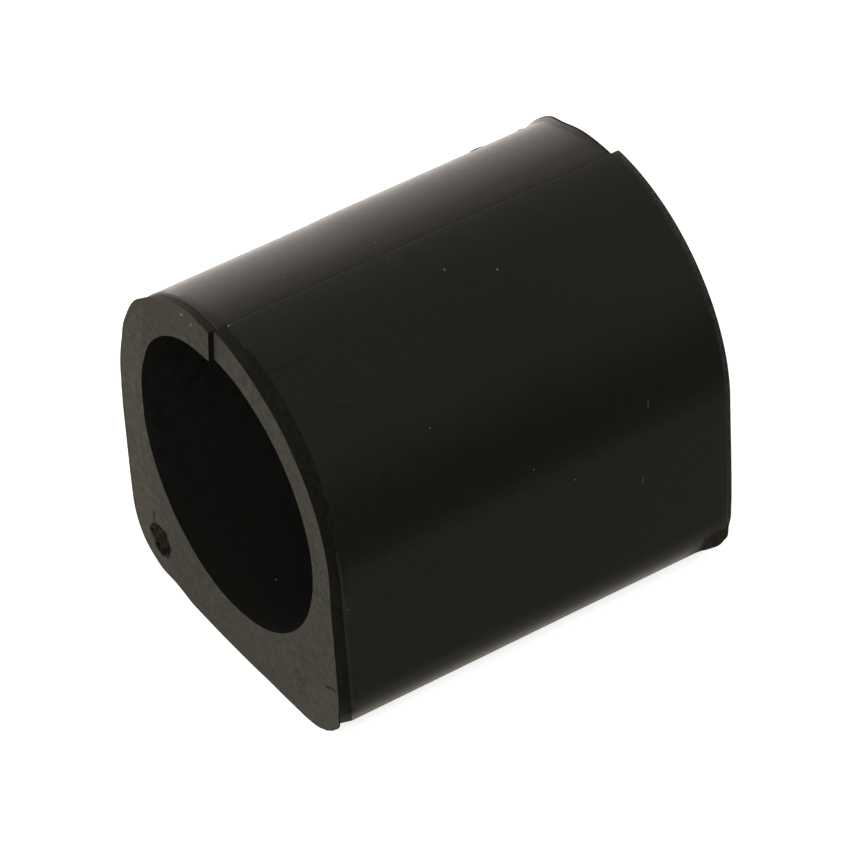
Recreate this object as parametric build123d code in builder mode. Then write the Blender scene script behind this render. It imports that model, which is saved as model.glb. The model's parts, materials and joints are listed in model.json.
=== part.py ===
"""Split rubber bushing for a stabiliser bar.

One moulded piece: a D-shaped block, round over the bar and flat below, with a through bore and a
single slit along its top, so that it can be opened and pushed over the bar. A skin stands proud of
a narrow rim at each end. The arm left of the slit has sprung a little toward the front.
Millimetres, +Z up, +Y along the bore, origin on the bore axis at mid length.
"""
from build123d import *
import os

# Bore and block, with the rubber round the bar and under it
bore_diameter = 54.0
length = 80.4
crown_wall = 6.2
base_wall = 10.9
crown_centre_x = -0.5
crown_centre_z = 0.7
lower_corner_radius = 12.7

# Skin that stands proud of the end rims; the two mould halves sit a little apart along the bore
skin_height = 0.5
skin_edge_radius = 0.2
front_rim_right = 2.25
front_rim_left = 1.05
back_rim_right = 1.05
back_rim_left = 0.4

# Slit along the crown and the set that its left arm has taken, which fades out over the bore
slit_centre_x = 0.8
slit_width = 0.4
slit_corner_radius = 1.2
arm_lead_front = 1.0
arm_lead_inset = 3.0
arm_lag_back = 1.6
arm_lag_width = 13.0
arm_lag_fade = 9.0

# Round mark sunk into the front face near the lower left corner, a groove round a low boss
mark_diameter = 5.8
mark_depth = 0.9
mark_boss_diameter = 2.4
mark_boss_height = 0.5
mark_from_side = 9.1
mark_from_base = 8.3

# Worked out from the sizes above
bore_radius = bore_diameter / 2
crown_radius = bore_radius + crown_wall
base_depth = bore_radius + base_wall
front_y = -length / 2
back_y = length / 2
arm_lead_start_x = arm_lead_inset - bore_radius
mark_x = crown_centre_x - crown_radius + mark_from_side
mark_z = mark_from_base - base_depth
slit_right_x = slit_centre_x + slit_width / 2
slit_left_x = slit_centre_x - slit_width / 2
arm_lag_end_x = slit_left_x - arm_lag_width
arm_lag_start_x = arm_lag_end_x - arm_lag_fade
clear_x = 2 * crown_radius
clear_z = 2 * base_depth


def block_profile(inset):
    """D outline on the XZ plane, drawn the inset inside the skin."""
    radius = crown_radius - inset
    left_x = crown_centre_x - radius
    right_x = crown_centre_x + radius
    base_z = inset - base_depth
    with BuildSketch(Plane.XZ) as profile:
        with BuildLine():
            Polyline(
                (left_x, crown_centre_z),
                (left_x, base_z),
                (right_x, base_z),
                (right_x, crown_centre_z),
            )
            ThreePointArc(
                (right_x, crown_centre_z),
                (crown_centre_x, crown_centre_z + radius),
                (left_x, crown_centre_z),
            )
        make_face()
        fillet(profile.vertices().group_by(Axis.Z)[0], radius=lower_corner_radius - inset)
    return profile.sketch


def end_limits(front_right, front_left, back_right, back_left, corner_radius=0):
    """What lies between the ends, split along the crown, with the given rims left free."""
    right_front_y = front_y + front_right
    right_back_y = back_y - back_right
    left_front_y = front_y + front_left
    left_back_y = back_y - back_left
    far_left_x = slit_left_x - clear_x
    with BuildPart() as limits:
        # Below the bore axis the two sides run square to the bore and join under the slit
        with BuildSketch(Plane.XY):
            with Locations((slit_centre_x, right_front_y)):
                Rectangle(clear_x, right_back_y - right_front_y, align=(Align.MIN, Align.MIN))
            with Locations((slit_centre_x, left_front_y)):
                Rectangle(clear_x, left_back_y - left_front_y, align=(Align.MAX, Align.MIN))
        extrude(amount=-clear_z)
        # Above it the right arm stays square and the left arm leans forward toward the slit
        with BuildSketch(Plane.XY) as right_arm:
            with Locations((slit_right_x, right_front_y)):
                Rectangle(clear_x, right_back_y - right_front_y, align=(Align.MIN, Align.MIN))
            if corner_radius > 0:
                fillet(right_arm.vertices().group_by(Axis.X)[0], radius=corner_radius)
        extrude(amount=clear_z)
        with BuildSketch(Plane.XY):
            with BuildLine():
                Polyline(
                    (slit_left_x, left_front_y - arm_lead_front),
                    (slit_left_x, left_back_y - arm_lag_back),
                    (arm_lag_end_x, left_back_y - arm_lag_back),
                    (arm_lag_start_x, left_back_y),
                    (far_left_x, left_back_y),
                    (far_left_x, left_front_y),
                    (arm_lead_start_x, left_front_y),
                    close=True,
                )
            make_face()
        extrude(amount=clear_z)
    return limits.part


# Core: the slimmer block that runs from end to end and shows as the rims
with BuildPart() as core:
    extrude(block_profile(skin_height), amount=length, both=True)
    add(end_limits(0, 0, 0, 0), mode=Mode.INTERSECT)

# Skin: the full outline between the rims, its ends and the lips of the slit eased
with BuildPart() as skin:
    extrude(block_profile(0), amount=length, both=True)
    add(
        end_limits(
            front_rim_right, front_rim_left, back_rim_right, back_rim_left, slit_corner_radius
        ),
        mode=Mode.INTERSECT,
    )
    outer_edges = skin.edges().filter_by(lambda edge: not core.part.is_inside(edge @ 0.5))
    across = outer_edges.filter_by(Axis.Y, reverse=True)
    along = outer_edges.filter_by(Axis.Y)
    lips = along.filter_by_position(Axis.X, slit_left_x, slit_right_x).group_by(Axis.Z)[-1]
    fillet(across + lips, radius=skin_edge_radius)

# Bushing: core and skin in one, bored, with the mark sunk into its front face
with BuildPart() as bushing:
    add(core.part)
    add(skin.part)
    with Locations(Plane.XZ):
        Hole(radius=bore_radius)
    with BuildSketch(Plane.XZ.offset(-front_y)):
        with Locations((mark_x, mark_z)):
            Circle(mark_diameter / 2)
    extrude(amount=-mark_depth, mode=Mode.SUBTRACT)
    with BuildSketch(Plane.XZ.offset(-front_y - mark_depth)):
        with Locations((mark_x, mark_z)):
            Circle(mark_boss_diameter / 2)
    extrude(amount=mark_boss_height)

bushing.part.label = "bushing"

os.makedirs("parts", exist_ok=True)
export_step(bushing.part, "parts/bushing.step")
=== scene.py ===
"""Look of the split stabiliser bar bushing: one moulded rubber piece on a white floor."""

import json
from math import acos, atan2, cos, hypot, pi, radians, sin, sqrt

import bmesh
import bpy
import numpy as np
from mathutils import Matrix, Vector


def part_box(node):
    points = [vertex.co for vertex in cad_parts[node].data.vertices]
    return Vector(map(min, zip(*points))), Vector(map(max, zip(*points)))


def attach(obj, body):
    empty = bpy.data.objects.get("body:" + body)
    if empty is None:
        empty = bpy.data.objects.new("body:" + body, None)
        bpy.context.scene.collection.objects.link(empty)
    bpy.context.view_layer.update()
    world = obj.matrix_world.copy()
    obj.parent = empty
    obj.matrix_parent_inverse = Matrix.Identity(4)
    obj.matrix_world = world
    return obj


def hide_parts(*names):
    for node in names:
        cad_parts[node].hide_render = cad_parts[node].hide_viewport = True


MM = 0.001

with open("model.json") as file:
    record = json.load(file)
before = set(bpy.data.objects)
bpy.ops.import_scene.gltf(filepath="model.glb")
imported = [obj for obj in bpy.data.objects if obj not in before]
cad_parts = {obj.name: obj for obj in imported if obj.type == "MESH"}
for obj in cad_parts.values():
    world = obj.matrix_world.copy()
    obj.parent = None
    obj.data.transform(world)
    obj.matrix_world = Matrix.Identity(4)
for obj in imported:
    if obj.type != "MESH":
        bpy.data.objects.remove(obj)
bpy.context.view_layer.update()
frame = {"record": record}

# Sizes read from the frame, in millimetres
low, high = (corner / MM for corner in map(Vector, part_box("bushing")))
mounts = {mount["name"]: mount for mount in frame["record"]["mounts"]}
BORE_RADIUS = mounts["bore"]["dims"]["r_mm"]
CROWN_RADIUS = (high.x - low.x) / 2
CROWN_X = (high.x + low.x) / 2
CROWN_Z = high.z - CROWN_RADIUS
BASE_Z = low.z
BACK_Y = high.y
FRONT_Y = -BACK_Y
LENGTH = BACK_Y - FRONT_Y

# Sizes of the moulding, in millimetres: the lower corners' radius, and at the front and the back the
# height of the skin's step over the rim, the length of that step's slope, the rounding of the end's edge
# and the width of the rim
CORNER_RADIUS = 12.7
FRONT_STEP, BACK_STEP = 0.5, 0.06
SLOPES_RIGHT, SLOPES_LEFT = (0.4, 0.5), (0.25, 1.5)
EDGES_RIGHT, EDGES_LEFT = (0.15, 0.2), (0.12, 0.15)
FRONT_RIM_LEFT, BACK_RIM_LEFT = 1.7, 0.5

# The slit: its place and width, the radius of its front corner, and how far its lips fall toward it
SLIT_X, SLIT_WIDTH = 0.82, 0.17
SLIT_CORNER = 1.2
LIP_FALL_RIGHT, LIP_FALL_LEFT, LIP_WIDTH = 0.034, 0.016, 0.75

# The sprung arm left of the slit: how far it has moved forward at its front end and at its back end, and
# where across the arm each starts, and the second is full
ARM_LEAD, ARM_LEAD_START_X = FRONT_Y - low.y, 3.0 - BORE_RADIUS
ARM_LAG, ARM_LAG_START_X, ARM_LAG_END_X = 1.55, -21.0, -12.0

# The round mark sunk into the front face, with a low boss in it
MARK_RADIUS, MARK_BOSS_RADIUS = 3.25, 1.2
MARK_DEPTH, MARK_BOSS_HEIGHT = 0.45, 0.1
MARK_EDGE, MARK_BOSS_EDGE = 0.9, 0.6
MARK_X, MARK_Z = low.x + 9.1, BASE_Z + 8.3

# How the moulding strays from its plain outline at its ends and in the bore's front end: the angle
# round the bore from +X in degrees, and how far it stands out there
FRONT_SWELL = [(0, 0.1), (36, 0.05), (42, -0.02), (50, 0.1), (65, -0.03), (72, 0.12), (88, 0.5),
               (100, 0.5), (120, 0.33), (130, 0.55), (139, 1.0), (152, 0.6), (162, 0.05), (180, 0.12),
               (190, 0.3), (210, 0.25), (218, 0.05), (227, 0.28), (235, -0.2), (240, -0.8), (250, 0.45),
               (262, 0.6), (272, 0.5), (288, 0.05), (300, -0.3), (306, 0.1), (309, 0.4), (312, 0.66),
               (316, 1.15), (319, 0.3), (323, 0.3), (328, 0.2), (340, 0.1), (350, -0.05)]
BACK_SWELL = [(0, -0.15), (25, -0.17), (65, -0.1), (88, 0), (105, 0.35), (130, 0.6), (150, 0.25),
              (180, -0.1), (270, -0.1), (300, -0.2), (310, -0.23), (314, -0.33), (318, -0.56),
              (322, -0.41), (327, -0.15), (334, -0.08)]
BORE_SWELL = [(0, 0), (20, 0), (60, 0.2), (88, 0.4), (92, 0.1), (140, 0), (160, -0.5), (180, -1.0),
              (190, -0.8), (210, -0.5), (230, 0), (250, 0.35), (260, 0.4), (280, 0.15), (315, -0.1),
              (340, -0.1)]
BORE_SWELL_DEPTH = 25.0
# Shares of an end's swell that the rim's middle and its foot take, away from the slit
FRONT_MIDDLE_SHARE, FRONT_FOOT_SHARE, BACK_FOOT_SHARE = 0.8, 0.5, 0.8

# Widths of the rims right of the slit, by the same angle
FRONT_RIM_RIGHT = [(0, 2.0), (10, 1.8), (20, 1.9), (30, 2.1), (40, 2.4), (60, 2.4), (70, 2.35), (80, 2.15),
                   (90, 2.15), (270, 2.3), (296, 2.3), (306, 4.4), (312, 3.7), (318, 2.6), (323, 2.35),
                   (330, 2.35), (340, 2.15), (350, 2.1)]
BACK_RIM_RIGHT = [(0, 0.8), (22, 0.6), (90, 0.4), (270, 0.8)]

# Under the lowest front corner the rim's foot stands out by its own amount
FLASH_ANGLES, FLASH_SWELL = (302.0, 320.0), 0.42
# A lump low at the back on the right
LUMP_ANGLES, LUMP_HEIGHT, LUMP_START_Y, LUMP_LENGTH = (300.0, 318.0), 0.62, 35.4, 3.0
# The left of the crown is sunk a little over its front half
CROWN_SINK, CROWN_SINK_ANGLES = 0.15, (92.0, 180.0)
CROWN_SINK_END_Y, CROWN_SINK_RUN, CROWN_SINK_TURN = -2.0, 8.0, 25.0
# Degrees over which the flash and the lump rise, and over which the slit's own shape fades
EASE_ANGLE, SEAM_ANGLE = 4.0, 12.0

# The slit leans on the end face, closes behind it, wavers and drifts to the right toward the back
SLIT_LEAN = 0.45
SLIT_DRIFT, SLIT_DRIFT_START_Y, SLIT_DRIFT_END_Y = 0.45, 10.0, 33.0
SLIT_CLOSING, SLIT_CLOSED_LENGTH = 0.083, 2.5
SLIT_WAVES = [(0.07, 17.0, 0.5), (0.04, 5.5, 1.0)]
SLIT_REACH = 6.0

# Mesh spacing: rings through the wall, steps along the skin, steps up the slope to it, and steps round
# the section in millimetres
RINGS = 44
SKIN_STEP = 1.6
SLOPE_STEPS = 5
CROWN_STEP, FLAT_STEP, RIGHT_CORNER_STEP, LEFT_CORNER_STEP = 0.9, 1.3, 0.5, 0.32
# Distances from the slit of the samples beside it, and the angle in radians at which the plain steps start
NEAR_LIP = (0, 0.02, 0.06, 0.12, 0.18, 0.26, 0.45, 0.7, 1.0, 1.3, 1.7, 2.3)
NEAR_LIP_TURN = 0.1
# Stations from an end to its rim's foot, and where the one behind the edge lies, as a share of the way
# from the edge to the rim's middle
RIM_STATIONS = 6
RIM_SHOULDER = 0.15


def smooth(value):
    """Smoothstep of a value held to 0..1."""
    value = min(max(value, 0.0), 1.0)
    return value * value * (3 - 2 * value)


def at_angle(table, angle):
    """A table's value at an angle in degrees, eased between its entries and round the full circle."""
    angle %= 360
    entries = table + [(table[0][0] + 360, table[0][1])]
    for (a, value), (b, following) in zip(entries, entries[1:]):
        if a <= angle <= b:
            return value + (following - value) * smooth((angle - a) / (b - a))
    return table[0][1]


def rounding(distance, radius):
    """How far an edge of this radius falls back at a distance from the corner."""
    if distance >= radius:
        return 0.0
    return radius - sqrt(radius * radius - (radius - distance) ** 2)


def spread(start, end, step):
    """Evenly spaced values from start up to, but without, end."""
    count = max(2, round(abs(end - start) / step))
    return [start + (end - start) * i / count for i in range(count)]


def outline():
    """Samples round the D from the right lip of the slit to the left one: x, z and normal."""
    right_angle = acos((SLIT_X + SLIT_WIDTH / 2 - CROWN_X) / CROWN_RADIUS)
    left_angle = acos((SLIT_X - SLIT_WIDTH / 2 - CROWN_X) / CROWN_RADIUS)
    side_x = CROWN_RADIUS - CORNER_RADIUS
    corner_z = BASE_Z + CORNER_RADIUS
    near_lip = [d / CROWN_RADIUS for d in NEAR_LIP]
    samples = []

    def arc(cx, cz, radius, angles):
        for a in angles:
            samples.append((cx + radius * cos(a), cz + radius * sin(a), cos(a), sin(a)))

    arc(CROWN_X, CROWN_Z, CROWN_RADIUS, [right_angle - d for d in near_lip])
    arc(CROWN_X, CROWN_Z, CROWN_RADIUS,
        spread(right_angle - NEAR_LIP_TURN, 0, CROWN_STEP / CROWN_RADIUS))
    for z in spread(CROWN_Z, corner_z, FLAT_STEP):
        samples.append((CROWN_X + CROWN_RADIUS, z, 1.0, 0.0))
    arc(CROWN_X + side_x, corner_z, CORNER_RADIUS, spread(0, -pi / 2, RIGHT_CORNER_STEP / CORNER_RADIUS))
    for x in spread(CROWN_X + side_x, CROWN_X - side_x, FLAT_STEP):
        samples.append((x, BASE_Z, 0.0, -1.0))
    arc(CROWN_X - side_x, corner_z, CORNER_RADIUS, spread(-pi / 2, -pi, LEFT_CORNER_STEP / CORNER_RADIUS))
    for z in spread(corner_z, CROWN_Z, FLAT_STEP):
        samples.append((CROWN_X - CROWN_RADIUS, z, -1.0, 0.0))
    arc(CROWN_X, CROWN_Z, CROWN_RADIUS,
        spread(pi, left_angle + NEAR_LIP_TURN, CROWN_STEP / CROWN_RADIUS))
    arc(CROWN_X, CROWN_Z, CROWN_RADIUS, [left_angle + d for d in reversed(near_lip)])
    return samples


def slope_profile(height, length):
    """Distance past the rim's foot, and inset from the skin, up the soft slope between them."""
    return [(length * i / SLOPE_STEPS, height * (1 - smooth(i / SLOPE_STEPS)))
            for i in range(SLOPE_STEPS + 1)]


def stations(rims, swells, edges, slopes, flash, seam):
    """Along the outside, front to back: y, inset from the skin, and how far the rim swells there."""
    def half(rim, middle, foot, swell, height, edge, slope):
        corner = [(edge * (1 - sin(a)), height + edge * (1 - cos(a)), swell) for a in (pi / 2, pi / 4, 0)]
        rise = [(rim + d, inset, foot * inset / height) for d, inset in slope_profile(height, slope)]
        behind = edge + RIM_SHOULDER * (rim / 2 - edge)
        return corner + [(behind, height, middle), (rim / 2, height, middle)] + rise

    middle = swells[0] * (FRONT_MIDDLE_SHARE + (1 - FRONT_MIDDLE_SHARE) * seam) * (1 - flash)
    foot = swells[0] * (FRONT_FOOT_SHARE + (1 - FRONT_FOOT_SHARE) * seam) * (1 - flash)
    foot += FLASH_SWELL * flash
    back_foot = BACK_FOOT_SHARE * swells[1]
    front_half = half(rims[0], middle, foot, swells[0], FRONT_STEP, edges[0], slopes[0])
    back_half = half(rims[1], swells[1], back_foot, swells[1], BACK_STEP, edges[1], slopes[1])
    front = [(FRONT_Y + d, inset, swell) for d, inset, swell in front_half]
    back = [(BACK_Y - d, inset, swell) for d, inset, swell in reversed(back_half)]
    first, last = front[-1][0], back[0][0]
    count = round(LENGTH / SKIN_STEP)
    skin = [(first + (last - first) * i / count, 0.0, 0.0) for i in range(1, count)]
    return front + skin + back


def arm_shift(x, z, y, on_right):
    """How far the sprung left arm has moved toward the front at a point."""
    if z < 0 or on_right:
        return 0.0
    lead = ARM_LEAD * min(max((x - ARM_LEAD_START_X) / (SLIT_X - ARM_LEAD_START_X), 0.0), 1.0)
    lag = ARM_LAG * smooth((x - ARM_LAG_START_X) / (ARM_LAG_END_X - ARM_LAG_START_X))
    along = (y - FRONT_Y) / LENGTH
    return lead + (lag - lead) * along


def within(angle, angles):
    """1 between two angles in degrees, easing to 0 at both."""
    first, last = angles
    return smooth((angle - first) / EASE_ANGLE) * smooth((last - angle) / EASE_ANGLE)


def surface_relief(angle, y):
    """How far the skin stands out at a place: the lump low at the back and the sunk left crown."""
    along = min(max((y - LUMP_START_Y) / LUMP_LENGTH, 0.0), 1.0)
    relief = LUMP_HEIGHT * within(angle, LUMP_ANGLES) * along
    first, last = CROWN_SINK_ANGLES
    if first < angle < last:
        round_it = smooth((angle - first) / CROWN_SINK_TURN)
        relief -= CROWN_SINK * round_it * smooth((CROWN_SINK_END_Y - y) / CROWN_SINK_RUN)
    return relief


def slit_shift(lip, y, side):
    """How far the slit's lips lie to the right of their plain place, at a distance from the lip."""
    reach = smooth(1 - lip / SLIT_REACH)
    along = y - FRONT_Y
    shift = SLIT_DRIFT * smooth((y - SLIT_DRIFT_START_Y) / (SLIT_DRIFT_END_Y - SLIT_DRIFT_START_Y))
    shift += sum(size * sin(2 * pi * along / length + start) for size, length, start in SLIT_WAVES)
    return reach * (shift - side * SLIT_CLOSING * smooth(along / SLIT_CLOSED_LENGTH))


def mark_sink(x, z):
    """Depth of the round mark at a point of the front face."""
    distance = hypot(x - MARK_X, z - MARK_Z)
    groove = smooth((MARK_RADIUS - distance) / MARK_EDGE)
    boss = smooth((MARK_BOSS_RADIUS + MARK_BOSS_EDGE / 2 - distance) / MARK_BOSS_EDGE)
    return MARK_DEPTH * groove - MARK_BOSS_HEIGHT * boss


def build_bushing():
    """The whole bushing as one closed grid: round the section by along and through the wall."""
    grid = []
    for x, z, nx, nz in outline():
        angle = atan2(z, x)
        degrees_round = angle * 180 / pi % 360
        ray_x, ray_z = cos(angle), sin(angle)
        on_right = x > SLIT_X
        lip_x = SLIT_X + SLIT_WIDTH / 2 if on_right else SLIT_X - SLIT_WIDTH / 2
        lip = abs(x - lip_x) if z > CROWN_Z else 100.0
        fall = (LIP_FALL_RIGHT if on_right else LIP_FALL_LEFT) * max(1 - lip / LIP_WIDTH, 0.0) ** 2
        swells = at_angle(FRONT_SWELL, degrees_round), at_angle(BACK_SWELL, degrees_round)
        by_slit = smooth(1 - abs(degrees_round - 90) / SEAM_ANGLE)
        if on_right:
            cut = rounding(lip, SLIT_CORNER)
            rims = at_angle(FRONT_RIM_RIGHT, degrees_round) + cut, at_angle(BACK_RIM_RIGHT, degrees_round)
            edges, slopes, seam = EDGES_RIGHT, SLOPES_RIGHT, by_slit
        else:
            rims, edges, slopes, seam = (FRONT_RIM_LEFT, BACK_RIM_LEFT), EDGES_LEFT, SLOPES_LEFT, 0.0
        line = stations(rims, swells, edges, slopes, within(degrees_round, FLASH_ANGLES), seam)
        ring = []
        for y, inset, swell in line:
            inward = inset + fall
            out = swell + surface_relief(degrees_round, y)
            px, pz = x - nx * inward + ray_x * out, z - nz * inward + ray_z * out
            pz = max(pz, BASE_Z)
            shift_y = arm_shift(px, pz, y, on_right)
            ring.append((px + slit_shift(lip, y, 1 if on_right else -1), y - shift_y, pz))
        outer_count = len(line)
        lean = SLIT_LEAN / BORE_RADIUS * by_slit
        bore_cos, bore_sin = cos(angle + lean), sin(angle + lean)

        def bore_point(y):
            depth = 1 - smooth((y - FRONT_Y) / BORE_SWELL_DEPTH)
            radius = BORE_RADIUS + at_angle(BORE_SWELL, degrees_round) * depth
            return radius * bore_cos, radius * bore_sin

        def through(start, y, sink):
            """Points through the wall on an end face, from the outline to the bore."""
            bore_x, bore_z = bore_point(y)
            points = []
            for i in range(1, RINGS):
                f = i / RINGS
                px, pz = start[0] + (bore_x - start[0]) * f, start[2] + (bore_z - start[2]) * f
                depth = mark_sink(px, pz) if sink else 0.0
                points.append((px, y - arm_shift(px, pz, y, on_right) + depth, pz))
            return points

        front_start = ring[0]
        ring += through(ring[-1], BACK_Y, False)
        for y, _, _ in reversed(line):
            bore_x, bore_z = bore_point(y)
            ring.append((bore_x, y - arm_shift(bore_x, bore_z, y, on_right), bore_z))
        ring += reversed(through(front_start, FRONT_Y, True))
        grid.append(ring)
    return np.array(grid), outer_count


# The materials' places on the mesh, in the order in which it gets them
SKIN, RIM, LEFT_RIM, BACK_RIM, END, BORE, CUT, LUMP = range(8)
# Faces round the front edge that take the end's material, and where they do, in degrees
EDGE_FACES, PALE_EDGE = 2, (95, 300)
# Where the rims' materials run up the slope to the skin: at the front, and at the back by way of +X
DULL_FRONT_SLOPE, DULL_BACK_SLOPE = (12, 78), (319, 12)
# Where the back rim is dark, and where the lump is matt
DARK_BACK_RIM = (89, 200)
LUMP_MATT, LUMP_MATT_Y = (302, 319), 34.6


def region_of(v, outer_count, x, y, z):
    """Which material a face of the closed grid takes, by its band and its middle."""
    angle = atan2(z, x) * 180 / pi % 360

    def inside(angles):
        return angles[0] < angle < angles[1]

    if v < EDGE_FACES and inside(PALE_EDGE):
        return END
    if v < RIM_STATIONS - 1:
        return RIM if x > SLIT_X or z < 0 else LEFT_RIM
    if v < RIM_STATIONS - 1 + SLOPE_STEPS and inside(DULL_FRONT_SLOPE):
        return RIM
    back_slope = outer_count - RIM_STATIONS - SLOPE_STEPS <= v < outer_count - RIM_STATIONS
    if back_slope and (angle > DULL_BACK_SLOPE[0] or angle < DULL_BACK_SLOPE[1]):
        return BACK_RIM
    if v < outer_count - RIM_STATIONS:
        return LUMP if y > LUMP_MATT_Y and inside(LUMP_MATT) else SKIN
    if v < outer_count - 1:
        return LUMP if inside(LUMP_MATT) else RIM if inside(DARK_BACK_RIM) else BACK_RIM
    if v < outer_count - 1 + RINGS:
        return END
    if v < 2 * outer_count - 2 + RINGS:
        return BORE
    return END


def make_mesh(grid, outer_count):
    """Faces of the closed grid, with the two walls of the slit as grids of their own."""
    nu, nv, _ = grid.shape
    verts = [tuple(p * MM) for p in grid.reshape(-1, 3)]
    faces, slots = [], []
    for u in range(nu - 1):
        for v in range(nv):
            w = (v + 1) % nv
            faces.append((u * nv + v, u * nv + w, (u + 1) * nv + w, (u + 1) * nv + v))
            slots.append(region_of(v, outer_count, *(grid[u, v] + grid[u + 1, w]) / 2))
    for u, flip in ((0, False), (nu - 1, True)):
        inner = {}

        def at(k, j):
            """Vertex at station k along the slit's wall and ring j through it."""
            if j == 0:
                return u * nv + k
            if j == RINGS:
                return u * nv + 2 * outer_count + RINGS - 2 - k
            if k == 0:
                return u * nv + nv - j
            if k == outer_count - 1:
                return u * nv + outer_count - 1 + j
            return inner[(k, j)]

        for k in range(1, outer_count - 1):
            a = grid[u, k]
            b = grid[u, 2 * outer_count + RINGS - 2 - k]
            for j in range(1, RINGS):
                inner[(k, j)] = len(verts)
                verts.append(tuple((a + (b - a) * j / RINGS) * MM))
        for k in range(outer_count - 1):
            for j in range(RINGS):
                face = (at(k, j), at(k, j + 1), at(k + 1, j + 1), at(k + 1, j))
                faces.append(face if flip else tuple(reversed(face)))
                slots.append(CUT)
    mesh = bpy.data.meshes.new("bushing_rubber")
    mesh.from_pydata(verts, [], faces)
    mesh.polygons.foreach_set("material_index", slots)
    mesh.validate()
    mesh.update()
    return mesh


# Materials
def new_material(name):
    material = bpy.data.materials.new(name)
    material.use_nodes = True
    return material, material.node_tree.nodes, material.node_tree.links


class Surface:
    """A material whose nodes work on the place on the object in millimetres."""

    def __init__(self, name, specular):
        self.material, self.nodes, self.links = new_material(name)
        self.shader = self.nodes["Principled BSDF"]
        self.shader.inputs["Specular IOR Level"].default_value = specular
        where = self.nodes.new("ShaderNodeTexCoord")
        self.place = self.vector("SCALE", where.outputs["Object"], scale=1 / MM)

    def feed(self, socket, value):
        """Link a socket to another, or set it to a number or a colour."""
        if isinstance(value, bpy.types.NodeSocket):
            self.links.new(value, socket)
        elif socket.type == "RGBA":
            socket.default_value = (*value, 1)
        else:
            socket.default_value = value

    def maths(self, operation, *values, clamp=False):
        node = self.nodes.new("ShaderNodeMath")
        node.operation = operation
        node.use_clamp = clamp
        for socket, value in zip(node.inputs, values):
            self.feed(socket, value)
        return node.outputs[0]

    def vector(self, operation, *values, scale=None):
        node = self.nodes.new("ShaderNodeVectorMath")
        node.operation = operation
        for socket, value in zip(node.inputs, values):
            self.feed(socket, value)
        if scale is not None:
            self.feed(node.inputs["Scale"], scale)
        return node.outputs["Value" if operation in ("DOT_PRODUCT", "DISTANCE", "LENGTH") else "Vector"]

    def noise(self, size, detail=3.0, roughness=0.5, stretch=(1, 1, 1)):
        """Noise with cells of about this size in millimetres, as 0..1 round a half."""
        node = self.nodes.new("ShaderNodeTexNoise")
        node.inputs["Scale"].default_value = 1 / size
        node.inputs["Detail"].default_value = detail
        node.inputs["Roughness"].default_value = roughness
        self.feed(node.inputs["Vector"], self.vector("MULTIPLY", self.place, stretch))
        return node.outputs["Fac"]

    def remap(self, value, low, high, to_low=0.0, to_high=1.0):
        """A value's range eased to another range and held to its ends."""
        node = self.nodes.new("ShaderNodeMapRange")
        node.interpolation_type = "SMOOTHSTEP"
        self.feed(node.inputs["Value"], value)
        for name, number in (("From Min", low), ("From Max", high), ("To Min", to_low), ("To Max", to_high)):
            node.inputs[name].default_value = number
        return node.outputs["Result"]

    def mix(self, share, first, second):
        node = self.nodes.new("ShaderNodeMix")
        node.data_type = "RGBA"
        self.feed(node.inputs["Factor"], share)
        self.feed(node.inputs[6], first)
        self.feed(node.inputs[7], second)
        return node.outputs[2]

    def near_point(self, point, radius):
        """1 at a point, 0 beyond the radius."""
        return self.remap(self.vector("DISTANCE", self.place, point), radius, radius * 0.3)

    def near_line(self, start, end, width):
        """1 on a straight line, 0 beyond the width to its side."""
        line = Vector(end) - Vector(start)
        offset = self.vector("SUBTRACT", self.place, start)
        share = self.vector("DOT_PRODUCT", offset, line)
        share = self.maths("MULTIPLY", share, 1 / line.length_squared, clamp=True)
        nearest = self.vector("SCALE", line, scale=share)
        return self.remap(self.vector("DISTANCE", offset, nearest), width, width * 0.2)

    def across(self, x, z):
        """The place's coordinate along a direction in the section."""
        return self.vector("DOT_PRODUCT", self.place, (x, 0.0, z))

    def along(self):
        """The place's coordinate along the bore."""
        return self.vector("DOT_PRODUCT", self.place, (0.0, 1.0, 0.0))

    def largest(self, masks):
        result = masks[0]
        for mask in masks[1:]:
            result = self.maths("MAXIMUM", result, mask)
        return result

    def dust(self, spacing, radius, share):
        """Scattered grains of dust, one in some of the cells of this spacing."""
        node = self.nodes.new("ShaderNodeTexVoronoi")
        node.inputs["Scale"].default_value = 1
        self.feed(node.inputs["Vector"], self.vector("SCALE", self.place, scale=1 / spacing))
        near = self.remap(node.outputs["Distance"], radius / spacing, 0.4 * radius / spacing)
        chosen = self.vector("DOT_PRODUCT", node.outputs["Color"], (1.0, 0.0, 0.0))
        return self.maths("MULTIPLY", near, self.remap(chosen, 1 - share, 1 - share * 0.8))

    def finish(self, colour, roughness, height):
        """Link colour, roughness and a bump whose height is in millimetres."""
        self.feed(self.shader.inputs["Base Color"], colour)
        self.feed(self.shader.inputs["Roughness"], roughness)
        bump = self.nodes.new("ShaderNodeBump")
        bump.inputs["Distance"].default_value = MM
        self.feed(bump.inputs["Height"], height)
        self.links.new(bump.outputs[0], self.shader.inputs["Normal"])
        return self.material


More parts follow.
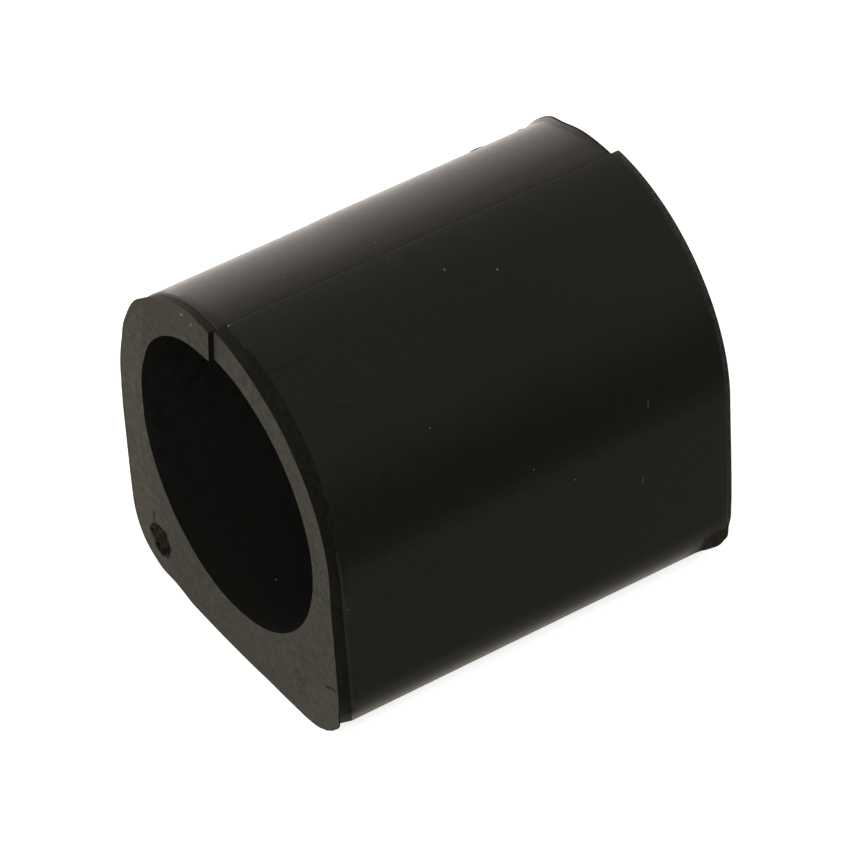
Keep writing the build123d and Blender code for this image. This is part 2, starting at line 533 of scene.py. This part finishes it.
# Linear colours of the rubber, its bloom, and what lies on it
DUST = (0.13, 0.125, 0.115)
GRIT = (0.26, 0.25, 0.23)
# Dark colour of the scuff marks and of the painted shade in the crease before the lump
SCUFF_AND_SHADE = (0.0026, 0.0027, 0.0020)
# Painted highlight on the back edge, warm and cool: the pale sheen of light caught by its rounding
SHEEN_WARM, SHEEN_COOL = (0.044, 0.036, 0.032), (0.036, 0.038, 0.034)
SKIN_COOL, SKIN_WARM = (0.0070, 0.0081, 0.0056), (0.0087, 0.0075, 0.0061)
SKIN_BACK, SKIN_LOW_FRONT = (0.0110, 0.0099, 0.0082), (0.0128, 0.0124, 0.0104)
SKIN_RIPPLE, SKIN_GRAIN = (0.0112, 0.0110, 0.0084), (0.0120, 0.0118, 0.0092)
FACE_DARK, FACE_LIGHT = (0.0442, 0.0434, 0.0368), (0.0743, 0.0718, 0.0622)
FACE_CLOUD = (0.0653, 0.0570, 0.0500)
FACE_GREEN, FACE_WARM = (0.0526, 0.0607, 0.0515), (0.0699, 0.0585, 0.0552)
FACE_GRAIN_LIGHT, FACE_GRAIN_DARK = (0.1012, 0.0957, 0.0828), (0.0294, 0.0276, 0.0221)
FACE_LEFT_DARK, FACE_LEFT_LIGHT = (0.0700, 0.0648, 0.0563), (0.0985, 0.0928, 0.0790)
FACE_LEFT_GRAIN, FACE_LOW_RIGHT = (0.1150, 0.1080, 0.0940), (0.0736, 0.0718, 0.0635)
# The mark's dark colour, the last one here, is dirt and painted shade in its recess
FACE_EDGE, HOLLOW_DIRT_AND_SHADE = (0.0690, 0.0607, 0.0432), (0.0060, 0.0056, 0.0040)
BORE_LOW, BORE_PAINTED_LIGHT = (0.0069, 0.0070, 0.0062), (0.0158, 0.0155, 0.0140)
BORE_PATCH = (0.0046, 0.0044, 0.0036)
CUT_DARK, CUT_LIGHT = (0.0070, 0.0064, 0.0054), (0.0118, 0.0108, 0.0094)

# The four rims: colour, roughness and specular level
END_RIM = (0.0068, 0.0064, 0.0048), 0.58, 0.12
LEFT_END_RIM = (0.0078, 0.0064, 0.0052), 0.6, 0.12
BACK_END_RIM = (0.0125, 0.0122, 0.0100), 0.5, 0.14
LUMP_END_RIM = (0.0330, 0.0290, 0.0235), 0.8, 0.02

# Distance from the back end at which the painted sheen along its edge starts, and is full
SHEEN_START, SHEEN_FULL = 1.7, 0.4
# Distance inside the outline at which the end's warm edge starts, and is full
WARM_START, WARM_FULL = 1.6, 0.7

# Grains of dust lying on the skin, and one painted glint: place and radius
SKIN_SPECKS_AND_GLINT = [((-5.1, -23.7, 33.6), 0.2), ((-4.0, -23.6, 33.7), 0.17), ((-2.5, -6.5, 33.8), 0.17),
               ((2.5, -7.3, 33.8), 0.12), ((8.9, -0.4, 32.5), 0.27), ((12.7, 7.5, 31.2), 0.27),
               ((27.3, -16.3, 18.9), 0.2), ((32.4, 0.2, 5.0), 0.2), ((32.7, 8.0, -1.0), 0.24),
               # The first entry on this line is a painted glint on the skin's corner beside the slit's
               # front, not dust
               ((1.2, -37.6, 33.8), 0.4), ((32.7, -37.3, -5.7), 0.22)]
# The skin is rubbed matt round the back end of the lower right corner: place and radius
RUBBED_CORNER = ((29.7, 39.5, -32.6), 10.0)
# Pale streaks on the right side: start, end and width
SKIN_STREAKS = [((32.0, 23.7, 7.9), (32.2, 23.5, 6.6), 0.22),
                ((32.7, 21.8, -7.6), (32.7, 21.6, -8.9), 0.2)]
# Scuff marks that show dark on the skin, and two lines of painted shade in the crease before the lump:
# start, end and width
SKIN_SCUFFS_AND_CREASE_SHADE = [((12.5, -37.2, 31.2), (12.9, -34.2, 31.1), 0.6),
               ((12.9, -34.2, 31.1), (12.6, -29.8, 31.2), 0.5),
               ((20.9, -29.7, 26.1), (21.8, -26.6, 25.3), 0.42),
               # These two lines are painted shade in the crease at the front of the lump
               ((32.7, 34.3, -26.8), (32.3, 34.2, -28.7), 0.3),
               ((32.3, 34.2, -28.7), (31.0, 33.9, -31.6), 0.35),
               ((32.7, 38.9, 4.0), (32.7, 38.6, -24.0), 0.28)]
# Nicks in the front face: one low on the right and a short tail above the mark
FACE_NICKS = [((28.8, -40.2, -24.3), (30.2, -40.2, -23.5), 0.3),
              ((30.2, -40.2, -23.5), (31.6, -40.2, -23.2), 0.3),
              ((-26.1, -40.2, -24.4), (-26.2, -40.2, -25.8), 0.45)]
# Dark pits in the mark, painted as dirt and shade: place and radius
MARK_PITS = [((-26.1, -40.0, -28.7), 1.1), ((-26.4, -40.0, -30.9), 0.9), ((-22.6, -40.0, -27.0), 1.0),
             ((-23.2, -40.0, -29.9), 0.8), ((-22.5, -40.0, -31.2), 1.1)]
# Bright grains on the front face's upper edge, and pale ones in the bore: place and radius
FACE_SPECKS = [((-8.3, -40.83, 31.5), 0.36), ((-5.2, -40.96, 31.5), 0.3)]
BORE_SPECKS = [((-1.6, -31.0, -27.0), 0.34), ((-11.5, -39.0, -24.4), 0.2)]


def moulded_skin():
    """Smooth moulded rubber: an even satin black with faint cloudy patches, fine grain, dust and scuff
    marks, and painted light and shade: a pale sheen along the back edge, a glint beside the slit's front and
    shade in a crease before the lump.
    """
    skin = Surface("moulded_skin", 0.2)
    cloud = skin.noise(5.0, 3)
    grain = skin.noise(0.55, 4, 0.6)
    ripple = skin.noise(1.7, 3)
    colour = skin.mix(skin.remap(cloud, 0.38, 0.62), SKIN_COOL, SKIN_WARM)
    along = skin.along()
    colour = skin.mix(skin.remap(along, 0.0, 40.0, 0, 0.8), colour, SKIN_BACK)
    low = skin.remap(skin.across(0.0, 1.0), 4.0, -8.0, 0, 0.7)
    low_front = skin.maths("MULTIPLY", skin.remap(along, -35.0, -38.0), low)
    colour = skin.mix(low_front, colour, SKIN_LOW_FRONT)
    colour = skin.mix(skin.remap(ripple, 0.35, 0.65, 0, 0.3), colour, SKIN_RIPPLE)
    colour = skin.mix(skin.remap(grain, 0.35, 0.75, 0, 0.3), colour, SKIN_GRAIN)
    # Dark lines: scuff marks, and painted shade in the crease before the lump
    scuffs_and_shade = skin.largest([skin.near_line(*scuff) for scuff in SKIN_SCUFFS_AND_CREASE_SHADE])
    scuffs_and_shade = skin.maths("MULTIPLY", scuffs_and_shade, skin.remap(skin.noise(0.8), 0.35, 0.6, 0.15, 0.75))
    colour = skin.mix(scuffs_and_shade, colour, SCUFF_AND_SHADE)
    # Dust grains and one painted glint, both in the dust colour
    specks = skin.largest([skin.near_point(*speck) for speck in SKIN_SPECKS_AND_GLINT])
    streaks = skin.largest([skin.near_line(*streak) for streak in SKIN_STREAKS])
    streaks = skin.maths("MULTIPLY", streaks, 0.35)
    dust = skin.largest([specks, streaks])
    # Painted highlight: the pale sheen along the back edge, under the dust
    colour = skin.mix(dust, painted_edge_sheen(skin, colour), DUST)
    rough = skin.remap(ripple, 0.3, 0.7, 0.232, 0.268)
    rough = skin.maths("ADD", rough, skin.remap(grain, 0.3, 0.7, -0.015, 0.015))
    rough = skin.maths("ADD", rough, skin.maths("MULTIPLY", dust, 0.5))
    rough = skin.maths("MULTIPLY_ADD", skin.near_point(*RUBBED_CORNER), 0.4, rough)
    height = skin.maths("MULTIPLY", grain, 0.004)
    height = skin.maths("MULTIPLY_ADD", ripple, 0.010, height)
    height = skin.maths("MULTIPLY_ADD", cloud, 0.020, height)
    height = skin.maths("MULTIPLY_ADD", specks, 0.05, height)
    return skin.finish(colour, rough, height)


def painted_edge_sheen(surface, colour):
    """The colour with a painted highlight: a pale, fuzzy line of painted sheen over the last millimetre
    before the back end, where light catches the rounded edge.
    """
    near = surface.remap(surface.along(), BACK_Y - SHEEN_START, BACK_Y - SHEEN_FULL)
    sheen = surface.maths("MULTIPLY", near, surface.remap(surface.noise(0.7, 3), 0.35, 0.62, 0.15, 1.0))
    tint = surface.mix(surface.remap(surface.noise(3.0, 2), 0.4, 0.6), SHEEN_WARM, SHEEN_COOL)
    return surface.mix(sheen, colour, tint)


def end_rim(name, colour, roughness, specular):
    """The narrow rim beside the skin: duller rubber with a coarser, uneven grain."""
    rim = Surface(name, specular)
    patches = rim.noise(1.1, 4, 0.65)
    grain = rim.noise(0.4, 3)
    light = tuple(1.45 * part for part in colour)
    dark = tuple(0.7 * part for part in colour)
    tone = rim.mix(rim.remap(patches, 0.35, 0.65), dark, light)
    tone = rim.mix(rim.maths("MULTIPLY", rim.dust(1.2, 0.12, 0.08), 0.25), tone, DUST)
    # Painted highlight: the pale sheen along the back edge
    tone = painted_edge_sheen(rim, tone)
    rough = rim.remap(patches, 0.3, 0.7, roughness - 0.06, roughness + 0.06)
    height = rim.maths("MULTIPLY_ADD", patches, 0.03, rim.maths("MULTIPLY", grain, 0.012))
    return rim.finish(tone, rough, height)


def end_face():
    """The matt end: grey-black with a cloudy, grainy bloom, and at the front a mark darkened by dirt and
    painted shade, and nicks.
    """
    face = Surface("end_face", 0.01)
    cloud = face.noise(9.0, 2)
    mottle = face.noise(1.5, 5, 0.62)
    grain = face.noise(0.35, 3, 0.6)
    colour = face.mix(face.remap(mottle, 0.34, 0.66), FACE_DARK, FACE_LIGHT)
    colour = face.mix(face.remap(cloud, 0.35, 0.65, 0, 0.5), colour, FACE_CLOUD)
    colour = face.mix(face.remap(face.noise(2.6, 2), 0.5, 0.66, 0, 0.6), colour, FACE_GREEN)
    colour = face.mix(face.remap(face.noise(1.9, 2), 0.54, 0.68, 0, 0.6), colour, FACE_WARM)
    colour = face.mix(face.remap(grain, 0.5, 0.72, 0, 0.5), colour, FACE_GRAIN_LIGHT)
    colour = face.mix(face.remap(grain, 0.46, 0.28, 0, 0.45), colour, FACE_GRAIN_DARK)

    # Paler on the left, and a little low on the right
    left_tone = face.mix(face.remap(mottle, 0.34, 0.66), FACE_LEFT_DARK, FACE_LEFT_LIGHT)
    left_tone = face.mix(face.remap(grain, 0.5, 0.72, 0, 0.3), left_tone, FACE_LEFT_GRAIN)
    colour = face.mix(face.remap(face.across(1.0, 0.0), -19.0, -29.0, 0, 0.75), colour, left_tone)
    colour = face.mix(face.remap(face.across(0.62, -0.79), 34.0, 46.0, 0, 0.5), colour, FACE_LOW_RIGHT)

    # A warm tint along the left edge
    left = face.maths("SUBTRACT", CROWN_X, face.across(1.0, 0.0))
    up = face.maths("MAXIMUM", face.maths("SUBTRACT", face.across(0.0, 1.0), CROWN_Z), 0.0)
    squares = face.maths("ADD", face.maths("MULTIPLY", left, left), face.maths("MULTIPLY", up, up))
    reach = face.maths("SQRT", squares)
    warm = face.remap(reach, CROWN_RADIUS - WARM_START, CROWN_RADIUS - WARM_FULL)
    warm = face.maths("MULTIPLY", warm, face.remap(left, 0.0, 15.0, 0, 0.75))
    colour = face.mix(warm, colour, FACE_EDGE)

    # The mark, on the front end alone: dirt and painted shade darken its hollow, more toward the right, and
    # its pits; the nicks take the same dark colour
    front = face.remap(face.along(), 1.0, -1.0)
    flat = face.vector("MULTIPLY", face.place, (1.0, 0.0, 1.0))
    distance = face.vector("DISTANCE", flat, (MARK_X, 0.0, MARK_Z))
    distance = face.maths("ADD", distance, face.remap(face.noise(1.1, 2), 0.25, 0.75, -0.4, 0.4))
    hollow = face.remap(distance, MARK_RADIUS + 0.55, MARK_RADIUS - 0.5)
    level = face.remap(face.across(1.0, 0.0), MARK_X - 2.6, MARK_X + 2.4, 0.78, 0.9)
    level = face.maths("ADD", level, face.remap(distance, 1.4, 2.6, -0.03, 0.1))
    level = face.maths("ADD", level, face.remap(face.noise(0.9, 2), 0.4, 0.62, -0.1, 0.14))
    pits = face.largest([face.near_point(*pit) for pit in MARK_PITS])
    nick = face.largest([face.near_line(*line) for line in FACE_NICKS])
    hollow = face.maths("MULTIPLY", hollow, level, clamp=True)
    dark = face.largest([hollow, pits, face.maths("MULTIPLY", nick, 0.7)])
    dark = face.maths("MULTIPLY", dark, front)
    colour = face.mix(dark, colour, HOLLOW_DIRT_AND_SHADE)
    grit = face.largest([face.near_point(*speck) for speck in FACE_SPECKS])
    colour = face.mix(grit, colour, GRIT)

    rough = face.remap(mottle, 0.3, 0.7, 0.68, 0.82)
    height = face.maths("MULTIPLY_ADD", mottle, 0.03, face.maths("MULTIPLY", grain, 0.02))
    height = face.maths("MULTIPLY_ADD", nick, -0.15, height)
    return face.finish(colour, rough, height)


def bore_wall():
    """The bore: dull black with faint patches, painted light that makes it paler high up toward the left, a
    film of dust and a few grains.
    """
    bore = Surface("bore_wall", 0.16)
    patches = bore.noise(2.4, 4, 0.6)
    grain = bore.noise(0.5, 3)
    # Painted light: the colour grows paler toward the top left
    up = bore.across(-0.5, 0.87)
    colour = bore.mix(bore.remap(up, -12.0, 26.0), BORE_LOW, BORE_PAINTED_LIGHT)
    colour = bore.mix(bore.remap(patches, 0.38, 0.62, 0, 0.5), colour, BORE_PATCH)
    specks = bore.largest([bore.near_point(*speck) for speck in BORE_SPECKS])
    dust = bore.largest([specks, bore.maths("MULTIPLY", bore.dust(1.5, 0.13, 0.08), 0.2)])
    colour = bore.mix(dust, colour, DUST)
    rough = bore.remap(patches, 0.3, 0.7, 0.46, 0.58)
    height = bore.maths("MULTIPLY_ADD", patches, 0.03, bore.maths("MULTIPLY", grain, 0.008))
    return bore.finish(colour, rough, height)


def slit_wall():
    """The cut through the arm: dark, torn a little rough."""
    cut = Surface("slit_wall", 0.06)
    tears = cut.noise(0.8, 4, 0.65, stretch=(1.0, 0.5, 2.0))
    colour = cut.mix(cut.remap(tears, 0.3, 0.7), CUT_DARK, CUT_LIGHT)
    rough = cut.remap(tears, 0.3, 0.7, 0.7, 0.85)
    return cut.finish(colour, rough, cut.maths("MULTIPLY", tears, 0.05))


# Edges that turn by more than this, in degrees, stay sharp
SHARP_TURN = 32

grid, outer_count = build_bushing()
mesh = make_mesh(grid, outer_count)
bushing = bpy.data.objects.new("bushing_rubber", mesh)
bpy.context.scene.collection.objects.link(bushing)
mesh.shade_smooth()
mesh.set_sharp_from_angle(angle=radians(SHARP_TURN))
dull_rim = end_rim("end_rim", *END_RIM)
for material in (moulded_skin(), dull_rim, end_rim("left_rim", *LEFT_END_RIM),
                 end_rim("back_rim", *BACK_END_RIM), end_face(), bore_wall(), slit_wall(),
                 end_rim("lump_rim", *LUMP_END_RIM)):
    mesh.materials.append(material)
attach(bushing, "root")
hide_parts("bushing")

# Raised slivers on the left of the crown: angle round it, y, and half sizes around, along and out
SLIVERS = {"sliver_long": (133.0, 27.4, (0.5, 1.6, 0.18)), "sliver_short": (131.5, 36.0, (0.4, 0.7, 0.12))}
# How far a sliver's middle lies under the crown, and how much it narrows toward the back
SLIVER_SINK, SLIVER_TAPER = 0.03, 0.35


def add_sliver(name, angle, y, half_sizes):
    """A flat rounded sliver of rubber left on the crown by the mould's joint."""
    mould = bmesh.new()
    bmesh.ops.create_icosphere(mould, subdivisions=3, radius=1)
    a = radians(angle)
    out = Vector((cos(a), 0, sin(a)))
    around = Vector((-sin(a), 0, cos(a)))
    centre = Vector((CROWN_X, y, CROWN_Z)) + out * (CROWN_RADIUS - SLIVER_SINK)
    half_width, half_length, half_height = half_sizes
    for vert in mould.verts:
        u, v, w = vert.co
        taper = 1 - SLIVER_TAPER * v
        place = around * (u * half_width * taper) + Vector((0, v * half_length, 0))
        vert.co = (centre + place + out * (w * half_height * taper)) * MM
    sliver_mesh = bpy.data.meshes.new(name)
    mould.to_mesh(sliver_mesh)
    mould.free()
    sliver_mesh.shade_smooth()
    sliver_mesh.materials.append(dull_rim)
    sliver = bpy.data.objects.new(name, sliver_mesh)
    bpy.context.scene.collection.objects.link(sliver)
    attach(sliver, "root")


for name, (angle, y, half_sizes) in SLIVERS.items():
    add_sliver(name, angle, y, half_sizes)

# Floor: its side and its drop under the base in metres, its own white glow and its grey level
FLOOR_SIZE, FLOOR_DROP = 8.0, 0.00002
FLOOR_GLOW = 0.72
FLOOR_WHITE = 0.8


def add_floor():
    """A pale floor: it shows white, and the object's soft shadow takes only part of that."""
    half = FLOOR_SIZE / 2
    corners = [(-half, -half, 0), (half, -half, 0), (half, half, 0), (-half, half, 0)]
    mesh = bpy.data.meshes.new("floor")
    mesh.from_pydata(corners, [], [(0, 1, 2, 3)])
    floor = bpy.data.objects.new("floor", mesh)
    floor.location.z = BASE_Z * MM - FLOOR_DROP
    bpy.context.scene.collection.objects.link(floor)
    material, nodes, _ = new_material("white_floor")
    shader = nodes["Principled BSDF"]
    shader.inputs["Base Color"].default_value = (FLOOR_WHITE, FLOOR_WHITE, FLOOR_WHITE, 1)
    shader.inputs["Roughness"].default_value = 1.0
    shader.inputs["Specular IOR Level"].default_value = 0.0
    shader.inputs["Emission Color"].default_value = (1, 1, 1, 1)
    shader.inputs["Emission Strength"].default_value = FLOOR_GLOW
    mesh.materials.append(material)
    floor.visible_glossy = False
    floor.visible_diffuse = False
    floor.visible_shadow = False


# Level of the light round the bore's axis, by the angle from +X toward +Z in degrees
LIGHT_ROUND = [(-135, 0.5), (-127, 0.4), (-118, 0.4), (-105, 0.72), (-95, 0.6), (-75, 0.45), (-55, 0.4),
               (-44.5, 0.31), (-28.5, 0.12), (-12.5, 0.11), (3.5, 0.17), (19.5, 0.35), (36, 0.5), (96, 0.47),
               (120, 0.57), (136, 0.73), (148, 1.03), (160, 1.32), (172, 1.28), (187, 1.18), (196, 1.22),
               (204, 1.4), (212, 1.6), (225, 1.0)]
# Tint of that light: warm from the left and from below
LIGHT_TINT = [(-135, (1.03, 0.97, 0.90)), (-118, (1.04, 1.0, 0.86)), (-75, (1.06, 0.97, 0.82)),
              (-50, (1, 1, 0.98)), (-20, (1, 1, 0.98)), (30, (1, 1.03, 0.86)), (110, (1, 1.02, 0.86)),
              (127, (1, 0.98, 0.85)), (145, (1.04, 0.93, 0.87)), (225, (1.03, 0.96, 0.91))]
LIGHT_START = -135


def tint_at(angle):
    """The light's tint at an angle, between the entries of its table."""
    for (a, tint), (b, following) in zip(LIGHT_TINT, LIGHT_TINT[1:]):
        if a <= angle <= b:
            share = (angle - a) / (b - a)
            return tuple(p + (q - p) * share for p, q in zip(tint, following))
    raise ValueError(angle)


def ramp(nodes, stops):
    """A colour ramp with straight runs between stops of place and colour."""
    node = nodes.new("ShaderNodeValToRGB")
    node.color_ramp.interpolation = "LINEAR"
    points = node.color_ramp.elements
    while len(points) < len(stops):
        points.new(0.5)
    for point, (position, colour) in zip(points, stops):
        point.position = position
        point.color = (*colour, 1)
    return node


def add_world():
    """Soft light from all round: a white sweep on the left and below, dim above and on the right."""
    world = bpy.data.worlds.new("studio")
    bpy.context.scene.world = world
    world.use_nodes = True
    nodes, links = world.node_tree.nodes, world.node_tree.links
    nodes.clear()
    direction = nodes.new("ShaderNodeTexCoord")
    split = nodes.new("ShaderNodeSeparateXYZ")
    links.new(direction.outputs["Generated"], split.inputs[0])
    # Turned so that the angle's seam lies where the levels start and end
    turn = radians(LIGHT_START + 180)
    parts = []
    for x_part, z_part in ((cos(turn), sin(turn)), (-sin(turn), cos(turn))):
        a = nodes.new("ShaderNodeMath")
        a.operation = "MULTIPLY"
        a.inputs[1].default_value = x_part
        links.new(split.outputs["X"], a.inputs[0])
        b = nodes.new("ShaderNodeMath")
        b.operation = "MULTIPLY_ADD"
        b.inputs[1].default_value = z_part
        links.new(split.outputs["Z"], b.inputs[0])
        links.new(a.outputs[0], b.inputs[2])
        parts.append(b)
    angle = nodes.new("ShaderNodeMath")
    angle.operation = "ARCTAN2"
    links.new(parts[1].outputs[0], angle.inputs[0])
    links.new(parts[0].outputs[0], angle.inputs[1])
    place = nodes.new("ShaderNodeMapRange")
    place.inputs["From Min"].default_value = -pi
    place.inputs["From Max"].default_value = pi
    links.new(angle.outputs[0], place.inputs["Value"])
    levels = ramp(nodes, [((a - LIGHT_START) / 360, tuple(level * part for part in tint_at(a)))
                          for a, level in LIGHT_ROUND])
    links.new(place.outputs["Result"], levels.inputs["Fac"])
    light = nodes.new("ShaderNodeBackground")
    links.new(levels.outputs["Color"], light.inputs["Color"])
    white = nodes.new("ShaderNodeBackground")
    white.inputs["Color"].default_value = (1, 1, 1, 1)
    seen = nodes.new("ShaderNodeLightPath")
    choose = nodes.new("ShaderNodeMixShader")
    links.new(seen.outputs["Is Camera Ray"], choose.inputs["Fac"])
    links.new(light.outputs[0], choose.inputs[1])
    links.new(white.outputs[0], choose.inputs[2])
    output = nodes.new("ShaderNodeOutputWorld")
    links.new(choose.outputs[0], output.inputs["Surface"])


# The lamp's direction, its distance and size in metres, and its level
KEY_FROM = Vector((0.5, -0.6, 0.62)).normalized()
KEY_DISTANCE, KEY_SIZE, KEY_LEVEL = 1.1, 0.7, 0.55


def add_key():
    """One large soft lamp high in front on the right."""
    lamp = bpy.data.lights.new("key", "AREA")
    lamp.shape = "DISK"
    lamp.size = KEY_SIZE
    # A disk's radiance is its power over pi squared and its radius squared; level is irradiance over pi
    radius = KEY_SIZE / 2
    solid_angle = pi * radius ** 2 / KEY_DISTANCE ** 2
    radiance = KEY_LEVEL * pi / solid_angle
    lamp.energy = radiance * pi * pi * radius ** 2
    key = bpy.data.objects.new("key", lamp)
    bpy.context.scene.collection.objects.link(key)
    key.location = KEY_FROM * KEY_DISTANCE
    key.rotation_euler = KEY_FROM.to_track_quat("Z", "Y").to_euler()
    key.visible_glossy = False


add_floor()
add_world()
add_key()

# Camera: its direction, its distance in bore radii, and in pixels its focal length, the frame's side
# and the place in the frame of the point that it looks at, the bore's middle; its sensor in millimetres
AZIMUTH, ELEVATION, ROLL = radians(58.4547), radians(39.9141), radians(3.3447)
DISTANCE = 35.1477 * BORE_RADIUS
FOCAL_PIXELS, FRAME_PIXELS = 5607.41, 850
CENTRE_PIXEL = (425.41, 392.09)
SENSOR = 36.0
back = Vector((sin(AZIMUTH) * cos(ELEVATION), -cos(AZIMUTH) * cos(ELEVATION), sin(ELEVATION)))
right = Vector((cos(AZIMUTH), sin(AZIMUTH), 0))
up = back.cross(right)
right, up = right * cos(ROLL) - up * sin(ROLL), right * sin(ROLL) + up * cos(ROLL)
camera_data = bpy.data.cameras.new("camera")
camera = bpy.data.objects.new("camera", camera_data)
bpy.context.scene.collection.objects.link(camera)
camera_data.sensor_width = SENSOR
camera_data.lens = FOCAL_PIXELS / FRAME_PIXELS * SENSOR
camera_data.shift_x = (FRAME_PIXELS / 2 - CENTRE_PIXEL[0]) / FRAME_PIXELS
camera_data.shift_y = (CENTRE_PIXEL[1] - FRAME_PIXELS / 2) / FRAME_PIXELS
camera_data.clip_start, camera_data.clip_end = 0.01, 20
rotation = Matrix((right, up, back)).transposed().to_4x4()
camera.matrix_world = Matrix.Translation(back * DISTANCE * MM) @ rotation
bpy.context.scene.camera = camera

bpy.context.scene.view_settings.view_transform = "Standard"
